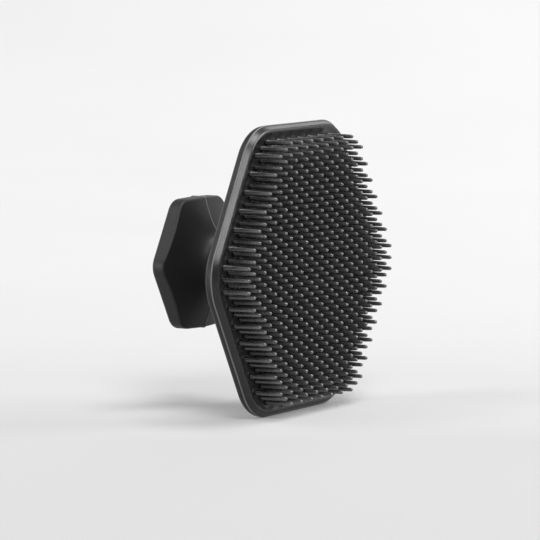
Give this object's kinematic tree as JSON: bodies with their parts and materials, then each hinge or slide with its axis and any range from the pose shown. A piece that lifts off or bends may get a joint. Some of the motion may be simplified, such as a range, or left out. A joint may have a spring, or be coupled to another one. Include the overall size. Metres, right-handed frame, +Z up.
{
  "type": "scalp massager brush",
  "caption": "Hand-held scalp massager brush: hexagonal silicone head covered in fine tapered bristles, with a waisted neck and a small hexagonal knob to hold it by.",
  "frame": {"origin": "on the floor under the middle of the brush, which stands on the bottom flat of its head", "axes": "+Y along the brush's axis from the bristles to the knob, +Z up, +X along the corners of the head"},
  "size_m": [0.0856, 0.042, 0.0778],
  "materials": {
    "pad_silicone": "fine satin moulded silicone",
    "grip_silicone": "fine matt moulded silicone",
    "core_plastic": "as moulded",
    "screw_steel": "plain stainless",
    "insert_brass": "turned and grooved"
  },
  "bodies": {
    "root": {"bristle_pad": "pad_silicone", "grip_skin": "grip_silicone", "knob_cap": "grip_silicone", "head_plate": "core_plastic", "stem": "core_plastic", "knob_plate": "core_plastic", "flange_screws": "screw_steel", "knob_screw": "screw_steel", "washer": "screw_steel", "threaded_insert": "insert_brass"}
  },
  "joints": []
}
